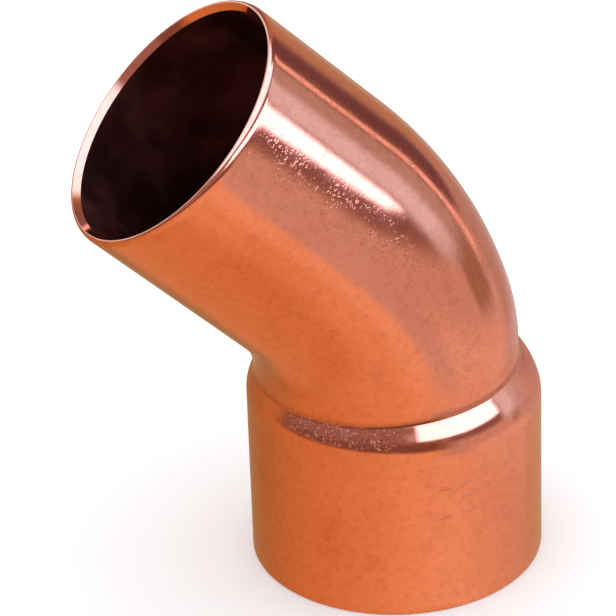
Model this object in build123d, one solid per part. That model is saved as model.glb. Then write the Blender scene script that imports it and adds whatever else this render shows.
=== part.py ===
from build123d import *
from math import atan, cos, radians, sin, tan
import os

# A 45 degree street elbow for capillary soldering, formed from one piece of copper tube.
# The socket stands upright on its mouth: the socket's axis is Z, its mouth lies on z = 0, and
# the bend lies in the XZ plane and carries the plain end, the spigot, over towards -X.
# The back is the long outer side of the bend, at +X, and the throat its short inner side, at -X.
# Millimetres and degrees.

# Tube
tube_od = 28.0
tube_wall = 1.0

# Socket
solder_gap = 0.10
socket_wall = 1.2
socket_length = 18.2
mouth_break = 0.25
mouth_lead_in = 0.35

# Shoulder, the step from the widened socket down to the neck
shoulder_tilt = 2.5
throat_shoulder_height = 2.9
shoulder_convex_share = 0.82

# Bend
bend_angle = 45.0
neck_back_flat = 1.2
neck_throat_bulge = 0.45
throat_radius = 8.1
back_first_radius = 22.6
back_first_angle = 16.7
back_second_radius = 47.6

# Spigot
spigot_length = 17.8
lip_round = 0.6
lip_deburr = 0.25

# Largest share of its wall that an end's outer edge and its bore edge may take
outer_edge_share = 0.65
bore_edge_share = 0.34

# Stations along each lofted skin. The bore is lofted in straight bands, to keep its faces few.
skin_stations = 11
shoulder_bore_stations = 5
bend_bore_stations = 7

# How closely an edge has to match a mouth's plane and radius
match_tolerance = 0.01

tube_radius = tube_od / 2
socket_bore_radius = (tube_od + solder_gap) / 2
socket_radius = socket_bore_radius + socket_wall
bend_turn = radians(bend_angle)
first_turn = radians(back_first_angle)
tilt = radians(shoulder_tilt)

# Unit vectors of the spigot in the XZ plane: along it towards the tip, and out of its back
along = Vector(-sin(bend_turn), 0, cos(bend_turn))
across = Vector(cos(bend_turn), 0, sin(bend_turn))

# The shoulder starts on a plane that dips towards the back, where the tube is stretched most
shoulder_start_back = Vector(socket_radius, 0, socket_length - socket_radius * tan(tilt))
shoulder_start_throat = Vector(-socket_radius, 0, socket_length + socket_radius * tan(tilt))

# The throat is one arc from the neck, then straight
neck_throat = Vector(-tube_radius - neck_throat_bulge, 0, shoulder_start_throat.Z + throat_shoulder_height)
throat_centre = neck_throat - Vector(throat_radius, 0, 0)
throat_arc_end = throat_centre + across * throat_radius

# The back is two arcs, and they end where the spigot has its full diameter again
neck_back_x = tube_radius - neck_back_flat
back_reach = (throat_arc_end + across * tube_od).dot(across)
first_centre_x = neck_back_x - back_first_radius
radius_step = back_first_radius - back_second_radius
second_centre_x = first_centre_x + radius_step * cos(first_turn)
second_centre_z = (back_reach - back_second_radius - second_centre_x * cos(bend_turn)) / sin(bend_turn)
first_centre_z = second_centre_z - radius_step * sin(first_turn)
first_centre = Vector(first_centre_x, 0, first_centre_z)
second_centre = Vector(second_centre_x, 0, second_centre_z)
neck_back = first_centre + Vector(back_first_radius, 0, 0)
back_arc_end = second_centre + across * back_second_radius
spigot_start = back_arc_end - across * tube_radius
spigot_tip = spigot_start + along * spigot_length

back_first_length = back_first_radius * first_turn
back_length = back_first_length + back_second_radius * (bend_turn - first_turn)
throat_arc_length = throat_radius * bend_turn
throat_length = throat_arc_length + (back_arc_end - throat_arc_end).dot(along)


def direction(angle):
    """Unit vector in the XZ plane at an angle in radians above +X."""
    return Vector(cos(angle), 0, sin(angle))


def section(back, throat, half_width):
    """The oval through a back point and a throat point, as wide along Y as given."""
    span = back - throat
    plane = Plane(origin=(back + throat) / 2, x_dir=span, z_dir=span.cross(Vector(0, 1, 0)))
    front = EllipticalCenterArc((0, 0), span.length / 2, half_width, 180, arc_size=180)
    rear = EllipticalCenterArc((0, 0), span.length / 2, half_width, 0, arc_size=180)
    return plane * make_face([rear, front])


def s_curve(start, end, outward, stations):
    """Steps, drops and lean angles along two tangent arcs that lead from start up to end.

    outward is +1 at the back and -1 at the throat."""
    height = end.Z - start.Z
    drop = (start.X - end.X) * outward
    lean = 2 * atan(drop / height)
    radii = height / sin(lean)
    convex = radii * shoulder_convex_share
    concave = radii - convex
    half = stations // 2
    points = []
    for step in range(half + 1):
        angle = lean * step / half
        points.append((convex * sin(angle), convex * (1 - cos(angle)), angle))
    for step in range(half - 1, -1, -1):
        angle = lean * step / half
        points.append((height - concave * sin(angle), drop - concave * (1 - cos(angle)), angle))
    return points


def shoulder_skin(start_depth, end_depth, stations, banded):
    """Solid inside the shoulder's skin, at a depth that changes from its start to its end."""
    back_curve = s_curve(shoulder_start_back, neck_back, 1, stations)
    throat_curve = s_curve(shoulder_start_throat, neck_throat, -1, stations)
    sections = []
    for (back_rise, back_drop, back_lean), (throat_rise, throat_drop, throat_lean) in zip(
        back_curve, throat_curve
    ):
        done = back_drop / (socket_radius - neck_back_x)
        depth = start_depth + (end_depth - start_depth) * done
        on_start_plane = Vector(0, 0, depth * tan(tilt) * (1 - done))
        back = shoulder_start_back + Vector(-back_drop, 0, back_rise)
        back += on_start_plane - direction(back_lean) * depth
        throat = shoulder_start_throat + Vector(throat_drop, 0, throat_rise)
        throat += direction(-throat_lean) * depth - on_start_plane
        half_width = socket_radius + (tube_radius - socket_radius) * done - depth
        sections.append(section(back, throat, half_width))
    return loft(sections, ruled=banded)


def back_point(distance, depth):
    """Point at a distance along the back from the neck, and a depth below its skin."""
    if distance < back_first_length:
        angle = distance / back_first_radius
        return first_centre + direction(angle) * (back_first_radius - depth)
    angle = first_turn + (distance - back_first_length) / back_second_radius
    return second_centre + direction(angle) * (back_second_radius - depth)


def throat_point(distance, depth):
    """Point at a distance along the throat from the neck, and a depth below its skin."""
    if distance < throat_arc_length:
        angle = distance / throat_radius
        return throat_centre + direction(angle) * (throat_radius + depth)
    return throat_arc_end + along * (distance - throat_arc_length) + across * depth


def bend_skin(inset, stations, banded):
    """Solid inside the bend's skin, from the neck to the start of the spigot."""
    sections = []
    for station in range(stations):
        share = station / (stations - 1)
        back = back_point(share * back_length, inset)
        throat = throat_point(share * throat_length, inset)
        sections.append(section(back, throat, tube_radius - inset))
    return loft(sections, ruled=banded)


def socket_skin(radius):
    """Socket cylinder, cut off at the top along the shoulder's tilted start."""
    tall = Cylinder(radius, 2 * socket_length, align=(Align.CENTER, Align.CENTER, Align.MIN))
    start_plane = Plane(origin=(0, 0, socket_length), z_dir=(sin(tilt), 0, cos(tilt)))
    return split(tall, bisect_by=start_plane, keep=Keep.BOTTOM)


def spigot_skin(radius):
    """Spigot cylinder from the end of the bend to the tip."""
    plane = Plane(origin=spigot_start, x_dir=across, z_dir=along)
    return plane * Cylinder(radius, spigot_length, align=(Align.CENTER, Align.CENTER, Align.MIN))


def mouth_edges(solid, plane, radius):
    """Round edge of the given radius that lies in a mouth's plane."""
    return [
        edge
        for edge in solid.edges().filter_by(GeomType.CIRCLE)
        if abs(plane.to_local_coords(edge.center(CenterOf.BOUNDING_BOX)).Z) < match_tolerance
        and abs(edge.radius - radius) < match_tolerance
    ]


def elbow_body():
    """The whole elbow: outer skins less inner skins, with both mouths finished."""
    bore_radius = tube_radius - tube_wall
    outside = (
        socket_skin(socket_radius)
        + shoulder_skin(0, 0, skin_stations, False)
        + bend_skin(0, skin_stations, False)
        + spigot_skin(tube_radius)
    )
    inside = (
        socket_skin(socket_bore_radius)
        + shoulder_skin(socket_wall, tube_wall, shoulder_bore_stations, True)
        + bend_skin(tube_wall, bend_bore_stations, True)
        + spigot_skin(bore_radius)
    )
    body = outside - inside
    socket_mouth = Plane.XY
    spigot_mouth = Plane(origin=spigot_tip, z_dir=along)
    rounding = min(lip_round, outer_edge_share * tube_wall)
    deburr = min(lip_deburr, bore_edge_share * tube_wall)
    edge_break = min(mouth_break, outer_edge_share * socket_wall)
    lead_in = min(mouth_lead_in, bore_edge_share * socket_wall)
    body = fillet(mouth_edges(body, spigot_mouth, tube_radius), rounding)
    body = chamfer(mouth_edges(body, spigot_mouth, bore_radius), deburr)
    body = chamfer(mouth_edges(body, socket_mouth, socket_radius), edge_break)
    body = chamfer(mouth_edges(body, socket_mouth, socket_bore_radius), lead_in)
    return body


os.makedirs("parts", exist_ok=True)
export_step(elbow_body(), "parts/elbow_body.step")
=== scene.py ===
import math

import bpy
from mathutils import Matrix, Vector


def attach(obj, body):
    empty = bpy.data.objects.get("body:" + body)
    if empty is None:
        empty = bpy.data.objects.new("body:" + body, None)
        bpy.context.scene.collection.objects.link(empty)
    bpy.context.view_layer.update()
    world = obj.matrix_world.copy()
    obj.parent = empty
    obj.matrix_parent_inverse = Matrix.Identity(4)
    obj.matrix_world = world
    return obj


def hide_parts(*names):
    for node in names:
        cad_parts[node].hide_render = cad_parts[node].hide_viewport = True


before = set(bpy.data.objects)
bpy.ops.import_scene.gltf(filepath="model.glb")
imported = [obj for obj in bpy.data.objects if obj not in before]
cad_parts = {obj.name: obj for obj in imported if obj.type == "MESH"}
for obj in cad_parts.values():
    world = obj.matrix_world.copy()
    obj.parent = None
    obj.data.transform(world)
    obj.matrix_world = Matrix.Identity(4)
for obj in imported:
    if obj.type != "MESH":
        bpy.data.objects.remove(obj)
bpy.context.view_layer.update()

# A 45 degree street elbow of copper tube, standing on its socket mouth. The forms below are
# worked out in millimetres from the same sizes as the solid and scaled to metres at the end.
MM = 0.001

# Sizes of the elbow
tube_radius = 14.0
tube_wall = 1.0
socket_bore_radius = 14.05
socket_wall = 1.2
socket_radius = socket_bore_radius + socket_wall
socket_length = 18.2
mouth_round = 0.25
mouth_lead_in = 0.35
tilt = math.radians(2.5)
throat_shoulder_height = 2.9
dome_height_share = 0.79
dome_drop_share = 0.90
dome_haste = 1.2
bend_turn = math.radians(45.0)
neck_back_flat = 1.2
neck_throat_bulge = 0.45
throat_radius = 8.1
back_first_radius = 22.6
first_turn = math.radians(16.7)
back_second_radius = 47.6
spigot_length = 17.8
lip_reach = 0.4
lip_depth = 0.9
deburr_reach = 0.5
deburr_depth = 0.65

# Mesh fineness
POINTS_AROUND = 256
SOCKET_RINGS = 26
SHOULDER_STEPS = 20
FLARE_STEPS = 8
BEND_RINGS = 56
SPIGOT_RINGS = 26
ROUND_STEPS = 5

# The faint size mark on the socket: plain digits in raised rounded strokes
mark_turn = math.radians(86.0)
mark_height = 12.9
mark_relief = 0.024
mark_half_width = 0.24
mark_root = 0.1
mark_spacing = 2.9

UP = Vector((0, 0, 1))
along = Vector((-math.sin(bend_turn), 0, math.cos(bend_turn)))
across = Vector((math.cos(bend_turn), 0, math.sin(bend_turn)))


def direction(angle):
    """Unit vector in the XZ plane at an angle in radians above +X."""
    return Vector((math.cos(angle), 0, math.sin(angle)))


shoulder_start_back = Vector((socket_radius, 0, socket_length - socket_radius * math.tan(tilt)))
shoulder_start_throat = Vector((-socket_radius, 0, socket_length + socket_radius * math.tan(tilt)))
neck_throat = Vector((
    -tube_radius - neck_throat_bulge,
    0,
    shoulder_start_throat.z + throat_shoulder_height,
))
throat_centre = neck_throat - Vector((throat_radius, 0, 0))
throat_arc_end = throat_centre + across * throat_radius
neck_back_x = tube_radius - neck_back_flat
back_reach = (throat_arc_end + across * 2 * tube_radius).dot(across)
first_centre_x = neck_back_x - back_first_radius
radius_step = back_first_radius - back_second_radius
second_centre_x = first_centre_x + radius_step * math.cos(first_turn)
second_centre_z = (
    back_reach - back_second_radius - second_centre_x * math.cos(bend_turn)
) / math.sin(bend_turn)
first_centre = Vector((first_centre_x, 0, second_centre_z - radius_step * math.sin(first_turn)))
second_centre = Vector((second_centre_x, 0, second_centre_z))
neck_back = first_centre + Vector((back_first_radius, 0, 0))
back_arc_end = second_centre + across * back_second_radius
spigot_start = back_arc_end - across * tube_radius
spigot_tip = spigot_start + along * spigot_length
back_first_length = back_first_radius * first_turn
back_length = back_first_length + back_second_radius * (bend_turn - first_turn)
throat_arc_length = throat_radius * bend_turn
throat_length = throat_arc_length + (back_arc_end - throat_arc_end).dot(along)


def back_point(distance, depth):
    """Point at a distance along the back from the neck, and a depth below its skin."""
    if distance < back_first_length:
        angle = distance / back_first_radius
        return first_centre + direction(angle) * (back_first_radius - depth)
    angle = first_turn + (distance - back_first_length) / back_second_radius
    return second_centre + direction(angle) * (back_second_radius - depth)


def throat_point(distance, depth):
    """Point at a distance along the throat from the neck, and a depth below its skin."""
    if distance < throat_arc_length:
        return throat_centre + direction(distance / throat_radius) * (throat_radius + depth)
    return throat_arc_end + along * (distance - throat_arc_length) + across * depth


def shoulder_profile(start, end, outward):
    """Rises, drops and lean angles up the shoulder: a dome that flattens upwards, then a crease and a flare."""
    height = end.z - start.z
    drop = (start.x - end.x) * outward
    dome_height = height * dome_height_share
    dome_drop = drop * dome_drop_share

    def climb(last_lean):
        """Points up the dome when it ends at a given lean."""
        points = []
        fallen = 0.0
        lean = 0.0
        rise = dome_height / SHOULDER_STEPS
        for step in range(SHOULDER_STEPS + 1):
            share = step / SHOULDER_STEPS
            before = lean
            lean = last_lean * (1 - math.exp(-dome_haste * share)) / (1 - math.exp(-dome_haste))
            if step:
                fallen += rise * math.tan((before + lean) / 2)
            points.append((dome_height * share, fallen, lean))
        return points

    low, high = 0.0, math.radians(80)
    for _ in range(40):
        middle = (low + high) / 2
        if climb(middle)[-1][1] < dome_drop:
            low = middle
        else:
            high = middle
    points = climb(low)[1:]
    flare_height = height - dome_height
    flare_lean = 2 * math.atan((drop - dome_drop) / flare_height)
    flare_radius = flare_height / math.sin(flare_lean)
    for step in range(FLARE_STEPS - 1, -1, -1):
        angle = flare_lean * step / FLARE_STEPS
        points.append((
            height - flare_radius * math.sin(angle),
            drop - flare_radius * (1 - math.cos(angle)),
            angle,
        ))
    return points


def socket_sections(depth, lowest):
    """Ovals up the socket, which tilt gradually to meet the shoulder's start."""
    radius = socket_radius - depth
    top = socket_length
    lean = radius * math.tan(tilt)
    sections = []
    for step in range(SOCKET_RINGS + 1):
        share = step / SOCKET_RINGS
        middle = lowest + (top - lowest) * share
        rise = lean * share
        sections.append((Vector((radius, 0, middle - rise)), Vector((-radius, 0, middle + rise)), radius))
    return sections


def shoulder_sections(start_depth, end_depth):
    """Ovals from the socket's top to the neck, at a depth that changes on the way."""
    back_curve = shoulder_profile(shoulder_start_back, neck_back, 1)
    throat_curve = shoulder_profile(shoulder_start_throat, neck_throat, -1)
    sections = []
    for (back_rise, back_drop, back_lean), (rise, drop, lean) in zip(back_curve, throat_curve):
        done = back_drop / (socket_radius - neck_back_x)
        depth = start_depth + (end_depth - start_depth) * done
        shift = UP * (depth * math.tan(tilt) * (1 - done))
        back = shoulder_start_back + Vector((-back_drop, 0, back_rise)) + shift
        back -= direction(back_lean) * depth
        throat = shoulder_start_throat + Vector((drop, 0, rise)) - shift
        throat += direction(-lean) * depth
        sections.append((back, throat, socket_radius + (tube_radius - socket_radius) * done - depth))
    return sections


def bend_sections(inset):
    """Ovals from the neck to the start of the spigot."""
    sections = []
    for ring in range(1, BEND_RINGS + 1):
        share = ring / BEND_RINGS
        back = back_point(share * back_length, inset)
        throat = throat_point(share * throat_length, inset)
        sections.append((back, throat, tube_radius - inset))
    return sections


def spigot_circle(distance, radius):
    """Circle round the spigot's axis, at a distance from the spigot's start."""
    centre = spigot_start + along * distance
    return (centre + across * radius, centre - across * radius, radius)


def mouth_circle(height, radius):
    """Circle round the socket's axis."""
    return (Vector((radius, 0, height)), Vector((-radius, 0, height)), radius)


def outer_sections():
    """Sections up the outside, from the socket's mouth to the lip of the plain end."""
    sections = []
    for step in range(ROUND_STEPS):
        turn = math.pi / 2 * step / ROUND_STEPS
        sections.append(mouth_circle(
            mouth_round * (1 - math.cos(turn)),
            socket_radius - mouth_round * (1 - math.sin(turn)),
        ))
    sections += socket_sections(0, mouth_round)
    sections += shoulder_sections(0, 0)
    sections += bend_sections(0)
    straight = spigot_length - lip_depth
    for ring in range(1, SPIGOT_RINGS + 1):
        sections.append(spigot_circle(straight * ring / SPIGOT_RINGS, tube_radius))
    for step in range(1, 2 * ROUND_STEPS + 1):
        turn = math.pi / 2 * step / (2 * ROUND_STEPS)
        sections.append(spigot_circle(
            straight + lip_depth * math.sin(turn),
            tube_radius - lip_reach * (1 - math.cos(turn)),
        ))
    return sections


def inner_sections():
    """Sections back down the bore, from the lip to the mouth's lead-in."""
    bore = tube_radius - tube_wall
    sections = [spigot_circle(spigot_length, bore + deburr_reach)]
    straight = spigot_length - deburr_depth
    for ring in range(SPIGOT_RINGS, 0, -1):
        sections.append(spigot_circle(straight * ring / SPIGOT_RINGS, bore))
    sections += reversed(bend_sections(tube_wall))
    sections += reversed(shoulder_sections(socket_wall, tube_wall))
    sections += reversed(socket_sections(socket_wall, mouth_lead_in))
    sections.append(mouth_circle(0, socket_bore_radius + mouth_lead_in))
    return sections


def smooth(value, start, end):
    """Smooth step from 0 to 1 as the value goes from start to end."""
    share = min(max((value - start) / (end - start), 0.0), 1.0)
    return share * share * (3 - 2 * share)


def pitting_and_glints_at(point, turn):
    """How strongly forming has pitted the skin: most in a band along the arm and on the shoulder's front. On
    the shoulder's front, values above 1 also place pale flecks painted as glints.
    """
    degrees = math.degrees(turn)
    above = smooth(point.z, 22.5, 24.5) * (1 - smooth((point - spigot_tip).dot(along), -1.4, -0.9))
    band = smooth(degrees, 58, 64) * (1 - smooth(degrees, 72, 88))
    back = smooth(degrees, 8, 20) * (1 - smooth(degrees, 38, 46))
    shoulder = smooth(point.z, 19.2, 19.8) * (1 - smooth(point.z, 21.5, 21.9))
    front = smooth(degrees, 100, 112) * (1 - smooth(degrees, 150, 165))
    return above * max(0.1, band, 0.5 * back) + 2.6 * shoulder * front


def crease_shade_at(point):
    """How close a point is to the crease between the shoulder and the neck, where the base colour is darkened
    as painted shade.
    """
    share = (point.x + socket_radius) / (2 * socket_radius)
    crease_height = 21.45 + 1.6 * share
    return 1 - smooth(abs(point.z - crease_height), 0.0, 0.5)


def dullness_at(point, turn):
    """How dull the skin is: only the shoulder's back, where the die rubbed."""
    degrees = math.degrees(min(turn, 2 * math.pi - turn))
    shoulder = smooth(point.z, 17.6, 18.6) * (1 - smooth(point.z, 22.8, 24.0))
    return shoulder * (1 - smooth(degrees, 46, 58))


def oval(back, throat, half_width):
    """Points round an oval, from its back through -Y."""
    centre = (back + throat) / 2
    arm = (back - throat) / 2
    points = []
    for index in range(POINTS_AROUND):
        angle = 2 * math.pi * index / POINTS_AROUND
        points.append(centre + arm * math.cos(angle) - Vector((0, half_width * math.sin(angle), 0)))
    return points


def make_skin():
    """The elbow's whole closed skin as one mesh."""
    outer = outer_sections()
    inner = inner_sections()
    vertices = []
    for section in outer + inner:
        vertices += [point * MM for point in oval(*section)]
    rings = len(outer) + len(inner)
    faces = []
    inside = []
    for ring in range(rings):
        after = (ring + 1) % rings
        for index in range(POINTS_AROUND):
            beside = (index + 1) % POINTS_AROUND
            faces.append((
                ring * POINTS_AROUND + index,
                after * POINTS_AROUND + index,
                after * POINTS_AROUND + beside,
                ring * POINTS_AROUND + beside,
            ))
            inside.append(1 if len(outer) < ring < rings - 2 else 0)
    mesh = bpy.data.meshes.new("elbow_skin")
    mesh.from_pydata(vertices, [], faces)
    mesh.update()
    pitting_and_glints = []
    crease = []
    dullness = []
    for number, vertex in enumerate(vertices):
        point = vertex / MM
        turn = 2 * math.pi * (number % POINTS_AROUND) / POINTS_AROUND
        pitting_and_glints.append(pitting_and_glints_at(point, turn))
        crease.append(crease_shade_at(point))
        dullness.append(dullness_at(point, turn))
    mesh.attributes.new("pitting_and_glints", "FLOAT", "POINT").data.foreach_set("value", pitting_and_glints)
    mesh.attributes.new("crease", "FLOAT", "POINT").data.foreach_set("value", crease)
    mesh.attributes.new("dullness", "FLOAT", "POINT").data.foreach_set("value", dullness)
    mesh.polygons.foreach_set("use_smooth", [True] * len(faces))
    mesh.polygons.foreach_set("material_index", inside)
    mesh.set_sharp_from_angle(angle=math.radians(32))
    skin = bpy.data.objects.new("elbow_skin", mesh)
    bpy.context.scene.collection.objects.link(skin)
    return skin


def arc(centre_x, centre_y, radius, start, end, steps=24):
    """Points along an arc, with its angles in degrees."""
    points = []
    for step in range(steps + 1):
        angle = math.radians(start + (end - start) * step / steps)
        points.append((centre_x + radius * math.cos(angle), centre_y + radius * math.sin(angle)))
    return points


def straight_line(start, end, steps=12):
    """Points after the start up to the end of a straight line."""
    points = []
    for step in range(1, steps + 1):
        share = step / steps
        points.append((start[0] + (end[0] - start[0]) * share, start[1] + (end[1] - start[1]) * share))
    return points


def digit_two():
    """One open stroke: over the top, down the slope and along the foot."""
    stroke = arc(0, 0.85, 0.9, 165, -35)
    stroke += straight_line(stroke[-1], (-0.95, -1.75))
    stroke += straight_line((-0.95, -1.75), (1.0, -1.75))
    return stroke


def digit_eight():
    """One closed stroke: round the upper loop, then the lower one, whose last point leads to the first."""
    return arc(0, 0.9, 0.8, -90, 270, 32)[1:] + arc(0, -0.85, 0.95, 90, -270, 36)[1:-1]


def on_socket(across_mark, up_mark, relief):
    """Point on the socket's outside from a place in the mark, as it is read from outside."""
    turn = mark_turn - across_mark / socket_radius
    radius = socket_radius + relief
    return Vector((radius * math.cos(turn), -radius * math.sin(turn), mark_height + up_mark)) * MM


def raised_stroke(path, shift, closed):
    """Solid ridge that follows a path and flows into the skin, with two ends unless the path is closed."""
    shares = (-1.0, -0.75, -0.5, -0.25, 0.0, 0.25, 0.5, 0.75, 1.0)
    last = len(path) - 1
    vertices = []
    for index, (x, y) in enumerate(path):
        before = path[index - 1] if closed else path[max(index - 1, 0)]
        after = path[(index + 1) % len(path)] if closed else path[min(index + 1, last)]
        heading = (Vector(after) - Vector(before)).normalized()
        for share in shares:
            reach = share * mark_half_width
            relief = mark_relief * math.cos(math.pi / 2 * share) ** 2 - 0.001
            vertices.append(on_socket(x + shift - heading.y * reach, y + heading.x * reach, relief))
        for share in (1.0, -1.0):
            reach = share * mark_half_width
            vertices.append(on_socket(x + shift - heading.y * reach, y + heading.x * reach, -mark_root))
    ring = len(shares) + 2
    faces = []
    for index in range(len(path) if closed else last):
        after = (index + 1) % len(path)
        for corner in range(ring):
            beside = (corner + 1) % ring
            faces.append((
                index * ring + corner,
                after * ring + corner,
                after * ring + beside,
                index * ring + beside,
            ))
    if not closed:
        faces.append(tuple(range(ring)))
        faces.append(tuple(reversed(range(last * ring, (last + 1) * ring))))
    return vertices, faces


def make_mark():
    """The digits 28, the pipe's size, as one mesh."""
    vertices = []
    faces = []
    for path, side, closed in ((digit_two(), -1, False), (digit_eight(), 1, True)):
        stroke_vertices, stroke_faces = raised_stroke(path, side * mark_spacing / 2, closed)
        faces += [tuple(corner + len(vertices) for corner in face) for face in stroke_faces]
        vertices += stroke_vertices
    mesh = bpy.data.meshes.new("size_mark")
    mesh.from_pydata(vertices, [], faces)
    mesh.update()
    mesh.polygons.foreach_set("use_smooth", [True] * len(faces))
    mesh.set_sharp_from_angle(angle=math.radians(32))
    mark = bpy.data.objects.new("size_mark", mesh)
    bpy.context.scene.collection.objects.link(mark)
    return mark


class Graph:
    """Shorthand for building a node tree."""

    def __init__(self, tree):
        self.tree = tree

    def add(self, kind, **settings):
        node = self.tree.nodes.new(kind)
        for name, value in settings.items():
            setattr(node, name, value)
        return node

    def feed(self, socket, value):
        """Links a socket to another, or gives it a plain value."""
        if isinstance(value, bpy.types.NodeSocket):
            self.tree.links.new(value, socket)
        elif value is not None:
            socket.default_value = value

    def math(self, operation, first, second=None, third=None):
        node = self.add("ShaderNodeMath", operation=operation)
        for socket, value in zip(node.inputs, (first, second, third)):
            self.feed(socket, value)
        return node.outputs[0]

    def step(self, value, start, end, low=0.0, high=1.0):
        """Smooth step from low to high as the value goes from start to end."""
        node = self.add("ShaderNodeMapRange", interpolation_type="SMOOTHSTEP")
        self.feed(node.inputs["Value"], value)
        self.feed(node.inputs["From Min"], start)
        self.feed(node.inputs["From Max"], end)
        self.feed(node.inputs["To Min"], low)
        self.feed(node.inputs["To Max"], high)
        return node.outputs[0]

    def mix(self, factor, first, second, blend="MIX"):
        """Mixes two colours."""
        node = self.add("ShaderNodeMix", data_type="RGBA", blend_type=blend)
        self.feed(node.inputs[0], factor)
        self.feed(node.inputs[6], opaque(first))
        self.feed(node.inputs[7], opaque(second))
        return node.outputs[2]

    def noise(self, place, scale, detail=2.0, roughness=0.5):
        node = self.add("ShaderNodeTexNoise")
        self.feed(node.inputs["Vector"], place)
        self.feed(node.inputs["Scale"], scale)
        self.feed(node.inputs["Detail"], detail)
        self.feed(node.inputs["Roughness"], roughness)
        return node.outputs[0]

    def jitter(self, place, scale, reach):
        """Shifts a place by a noise, so that even patterns become uneven."""
        node = self.add("ShaderNodeTexNoise")
        self.feed(node.inputs["Vector"], place)
        self.feed(node.inputs["Scale"], scale)
        shift = self.add("ShaderNodeVectorMath", operation="SCALE")
        self.feed(shift.inputs[0], node.outputs["Color"])
        self.feed(shift.inputs["Scale"], reach)
        total = self.add("ShaderNodeVectorMath", operation="ADD")
        self.feed(total.inputs[0], place)
        self.feed(total.inputs[1], shift.outputs[0])
        return total.outputs[0]

    def dots(self, place, scale):
        """Distance to the nearest of many scattered points, in steps of their spacing."""
        node = self.add("ShaderNodeTexVoronoi")
        self.feed(node.inputs["Vector"], place)
        self.feed(node.inputs["Scale"], scale)
        return node.outputs["Distance"]

    def bump(self, height, strength, distance, normal=None):
        node = self.add("ShaderNodeBump")
        self.feed(node.inputs["Height"], height)
        self.feed(node.inputs["Strength"], strength)
        self.feed(node.inputs["Distance"], distance)
        self.feed(node.inputs["Normal"], normal)
        return node.outputs[0]


def opaque(colour):
    """Adds full opacity to a plain colour."""
    if isinstance(colour, tuple) and len(colour) == 3:
        return (*colour, 1.0)
    return colour


def new_material(name):
    """An empty node material, with its shader and graph."""
    material = bpy.data.materials.new(name)
    material.use_nodes = True
    graph = Graph(material.node_tree)
    shader = material.node_tree.nodes["Principled BSDF"]
    return material, graph, shader


def copper_outside():
    """Bright drawn copper: even metal with tarnish clouds, fine grain and pits where it was formed, painted
    shade along the shoulder's crease and pale flecks painted as glints on the shoulder's front.
    """
    material, graph, shader = new_material("copper_outside")
    place = graph.add("ShaderNodeTexCoord").outputs["Object"]
    pitting_and_glints = graph.add("ShaderNodeAttribute", attribute_name="pitting_and_glints").outputs["Fac"]
    crease = graph.add("ShaderNodeAttribute", attribute_name="crease").outputs["Fac"]
    dullness = graph.add("ShaderNodeAttribute", attribute_name="dullness").outputs["Fac"]
    clouds = graph.noise(place, 90.0, 4.0, 0.55)
    mottle = graph.noise(place, 420.0, 3.0, 0.6)
    grain = graph.noise(place, 1500.0, 3.0, 0.65)
    patches = graph.step(graph.noise(place, 500.0, 1.0), 0.40, 0.58, 0.25, 1.0)
    level = graph.step(graph.dots(graph.jitter(place, 3000.0, 0.0006), 2500.0), 0.14, 0.44)
    pits = graph.math("SUBTRACT", 1.0, level)
    waves = graph.noise(place, 350.0, 1.0, 0.5)
    colour = graph.mix(graph.step(clouds, 0.35, 0.68), (0.91, 0.355, 0.223), (0.86, 0.315, 0.185))
    colour = graph.mix(graph.step(mottle, 0.54, 0.75, 0.0, 0.28), colour, (0.62, 0.20, 0.12))
    colour = graph.mix(graph.step(grain, 0.51, 0.70, 0.0, 0.30), colour, (0.55, 0.18, 0.12))
    colour = graph.mix(graph.step(grain, 0.47, 0.28, 0.0, 0.35), colour, (0.98, 0.44, 0.30))
    sunk = graph.math("MULTIPLY", graph.math("MULTIPLY", pits, 0.25), pitting_and_glints)
    colour = graph.mix(sunk, colour, (0.42, 0.13, 0.10))
    # Painted shade: the base colour darkens along the crease between the shoulder and the neck.
    colour = graph.mix(graph.math("MULTIPLY", crease, 0.35), colour, (0.30, 0.09, 0.06))
    shader.inputs["Metallic"].default_value = 1.0
    flecks = graph.noise(place, 3300.0, 2.0, 0.5)
    frost_and_glint_zone = graph.step(pitting_and_glints, 1.0, 2.6)
    frosted_glint_flecks = graph.math("MULTIPLY", graph.step(flecks, 0.53, 0.68), frost_and_glint_zone)
    # Painted glints: on the shoulder's front, the rough flecks are also given a pale pink base colour so that
    # they shine as bright specks.
    colour = graph.mix(graph.math("MULTIPLY", frosted_glint_flecks, 0.7), colour, (0.95, 0.52, 0.46))
    graph.feed(shader.inputs["Base Color"], colour)
    roughness = graph.step(mottle, 0.3, 0.75, 0.07, 0.12)
    roughness = graph.math("MULTIPLY_ADD", dullness, 0.28, roughness)
    roughness = graph.math("MULTIPLY_ADD", frosted_glint_flecks, 0.42, roughness)
    graph.feed(shader.inputs["Roughness"], roughness)
    normal = graph.bump(waves, 0.3, 0.00002)
    normal = graph.bump(flecks, frost_and_glint_zone, 0.00003, normal)
    normal = graph.bump(level, graph.math("MULTIPLY", pitting_and_glints, patches), 0.000008, normal)
    graph.feed(shader.inputs["Normal"], normal)
    return material


def bore_oxide_and_shade():
    """The bore: dark oxide from annealing, with its colour darkened further as painted shade for the unlit
    depth of the bore.
    """
    material, graph, shader = new_material("bore_oxide_and_shade")
    place = graph.add("ShaderNodeTexCoord").outputs["Object"]
    clouds = graph.noise(place, 160.0, 4.0, 0.6)
    # Painted shade: the near-black base colour, darker than the oxide alone, stands in for the lack of light
    # inside the bore.
    colour = graph.mix(graph.step(clouds, 0.35, 0.7), (0.11, 0.028, 0.024), (0.19, 0.052, 0.042))
    graph.feed(shader.inputs["Base Color"], colour)
    shader.inputs["Metallic"].default_value = 1.0
    graph.feed(shader.inputs["Roughness"], graph.step(clouds, 0.3, 0.7, 0.42, 0.6))
    graph.feed(shader.inputs["Normal"], graph.bump(clouds, 0.3, 0.0001))
    return material


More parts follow.
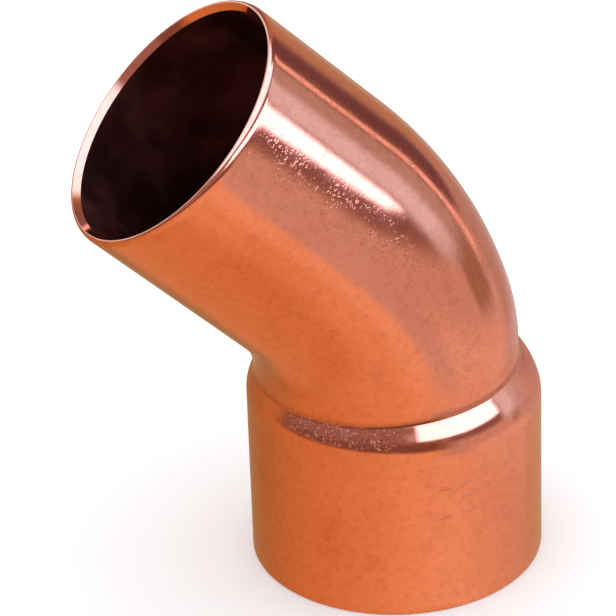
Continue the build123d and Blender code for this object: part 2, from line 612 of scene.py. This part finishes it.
skin = make_skin()
bright_copper = copper_outside()
skin.data.materials.append(bright_copper)
skin.data.materials.append(bore_oxide_and_shade())
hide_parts("elbow_body")
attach(skin, "root")

mark = make_mark()
mark.data.materials.append(bright_copper)
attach(mark, "root")


def make_floor():
    """Pale floor. The copper mirrors the studio's own warm ground instead of it."""
    half = 3.0
    mesh = bpy.data.meshes.new("floor")
    corners = [(-half, -half, 0), (half, -half, 0), (half, half, 0), (-half, half, 0)]
    mesh.from_pydata(corners, [], [(0, 1, 2, 3)])
    floor = bpy.data.objects.new("floor", mesh)
    bpy.context.scene.collection.objects.link(floor)
    material, graph, shader = new_material("pale_floor")
    place = graph.add("ShaderNodeTexCoord").outputs["Object"]
    grain = graph.noise(place, 60.0, 2.0)
    graph.feed(shader.inputs["Base Color"], graph.mix(grain, (0.93, 0.93, 0.93), (0.95, 0.95, 0.95)))
    shader.inputs["Roughness"].default_value = 0.9
    mesh.materials.append(material)
    floor.visible_glossy = False


make_floor()

# The studio that the copper mirrors. Bearings are in degrees from -Y, the front, towards +X.
GROUND = (
    (-180, (0.43, 0.25, 0.12)),
    (-140, (0.51, 0.28, 0.11)),
    (-105, (0.66, 0.35, 0.135)),
    (-70, (0.76, 0.41, 0.18)),
    (-20, (0.88, 0.55, 0.29)),
    (10, (0.94, 0.64, 0.42)),
    (30, (0.96, 0.69, 0.50)),
    (60, (0.86, 0.62, 0.45)),
    (95, (0.70, 0.52, 0.38)),
    (122, (0.66, 0.44, 0.27)),
    (150, (0.55, 0.36, 0.19)),
    (180, (0.43, 0.25, 0.12)),
)


def make_world():
    world = bpy.data.worlds.new("studio")
    bpy.context.scene.world = world
    world.use_nodes = True
    graph = Graph(world.node_tree)
    background = world.node_tree.nodes["Background"]
    split = graph.add("ShaderNodeSeparateXYZ")
    graph.feed(split.inputs[0], graph.add("ShaderNodeTexCoord").outputs["Generated"])
    x, y, z = split.outputs
    bearing = graph.math("DEGREES", graph.math("ARCTAN2", x, graph.math("MULTIPLY", y, -1.0)))
    height = graph.math("DEGREES", graph.math("ARCSINE", z))

    ramp = graph.add("ShaderNodeValToRGB")
    stops = ramp.color_ramp.elements
    while len(stops) < len(GROUND):
        stops.new(0.5)
    for stop, (angle, colour) in zip(stops, GROUND):
        stop.position = (angle + 180) / 360
        stop.color = (*colour, 1.0)
    graph.feed(ramp.inputs[0], graph.math("DIVIDE", graph.math("ADD", bearing, 180.0), 360.0))

    def patch(bearing_from, bearing_to, height_from, height_to, soft=4.0, soft_height=None):
        """Mask of a soft-edged rectangle of the sky."""
        soft_height = soft_height or soft
        parts = (
            graph.step(bearing, bearing_from - soft, bearing_from + soft),
            graph.step(bearing, bearing_to - soft, bearing_to + soft, 1.0, 0.0),
            graph.step(height, height_from - soft_height, height_from + soft_height),
            graph.step(height, height_to - soft_height, height_to + soft_height, 1.0, 0.0),
        )
        mask = parts[0]
        for part in parts[1:]:
            mask = graph.math("MULTIPLY", mask, part)
        return mask

    light = ramp.outputs[0]
    light = graph.mix(patch(-35, 30, -66, -37, 10, 4), light, (0.85, 0.53, 0.30))
    light = graph.mix(graph.step(height, -62.0, -44.0, 1.0, 0.0), light, (0.73, 0.40, 0.18))
    light = graph.mix(patch(17, 150, -28.5, 90, 4, 3), light, (0.69, 0.57, 0.56))
    light = graph.mix(patch(42, 104, -31, -17, 8, 4), light, (0.86, 0.68, 0.62))
    light = graph.mix(patch(112, 150, -22, 90, 5), light, (0.55, 0.42, 0.38))
    light = graph.mix(patch(-113, 22, -12, 90, 12, 4), light, (0.24, 0.14, 0.12))
    light = graph.mix(patch(-100, 22, 4, 90, 8, 3), light, (0.38, 0.27, 0.29))
    light = graph.mix(patch(82, 103, -14, 90, 2.5), light, (0.40, 0.30, 0.27))
    light = graph.mix(patch(22, 200, -2, 90, 6, 4), light, (0.27, 0.18, 0.19))
    light = graph.mix(patch(74, 103, -3, 30, 2.5), light, (0.54, 0.52, 0.56))
    light = graph.mix(patch(72, 89, -2, 30, 5), light, (0.85, 1.1, 1.5))
    light = graph.mix(patch(105, 109.5, -8, 30, 0.7), light, (1.15, 0.9, 0.9))
    light = graph.mix(patch(113, 126, -4, 60, 2.5), light, (0.19, 0.11, 0.13))
    light = graph.mix(patch(130, 150, -12, 60, 4), light, (0.52, 0.33, 0.20))
    light = graph.mix(patch(-174, -140, 9, 60, 5), light, (0.92, 1.3, 1.6))
    light = graph.mix(patch(-140, 100, 38, 120, 5), light, (1.6, 2.6, 4.0))
    light = graph.mix(graph.step(height, 50.0, 62.0), light, (1.6, 2.6, 4.0))
    light = graph.mix(patch(-10, 20, 8, 17, 4, 2), light, (0.62, 0.62, 0.7))
    light = graph.mix(patch(-1, 70, 6.6, 24, 2.5, 0.8), light, (2.8, 3.2, 4.8))
    mirrored = graph.add("ShaderNodeLightPath").outputs["Is Glossy Ray"]
    graph.feed(background.inputs["Color"], graph.mix(mirrored, (1.25, 1.25, 1.25), light))
    background.inputs["Strength"].default_value = 1.0


make_world()


def make_camera():
    """Camera at the photograph's viewing angle, found by fitting the elbow's outline."""
    azimuth = math.radians(-17.838)
    elevation = math.radians(28.884)
    roll = math.radians(-2.049)
    target = Vector((-8.0, 0, 22.0))
    distance = 372.32
    back = Vector((
        math.sin(azimuth) * math.cos(elevation),
        -math.cos(azimuth) * math.cos(elevation),
        math.sin(elevation),
    ))
    right = Vector((math.cos(azimuth), math.sin(azimuth), 0))
    up = back.cross(right)
    rolled_right = math.cos(roll) * right + math.sin(roll) * up
    rolled_up = math.cos(roll) * up - math.sin(roll) * right
    place = (target + back * distance + rolled_right * -1.182 + rolled_up * 6.257) * MM
    camera = bpy.data.objects.new("camera", bpy.data.cameras.new("camera"))
    camera.matrix_world = Matrix((
        (rolled_right.x, rolled_up.x, back.x, place.x),
        (rolled_right.y, rolled_up.y, back.y, place.y),
        (rolled_right.z, rolled_up.z, back.z, place.z),
        (0, 0, 0, 1),
    ))
    camera.data.sensor_width = 36.0
    camera.data.lens = 212.5
    camera.data.clip_start = 0.01
    camera.data.clip_end = 20.0
    bpy.context.scene.collection.objects.link(camera)
    bpy.context.scene.camera = camera


make_camera()
bpy.context.scene.view_settings.view_transform = "Standard"
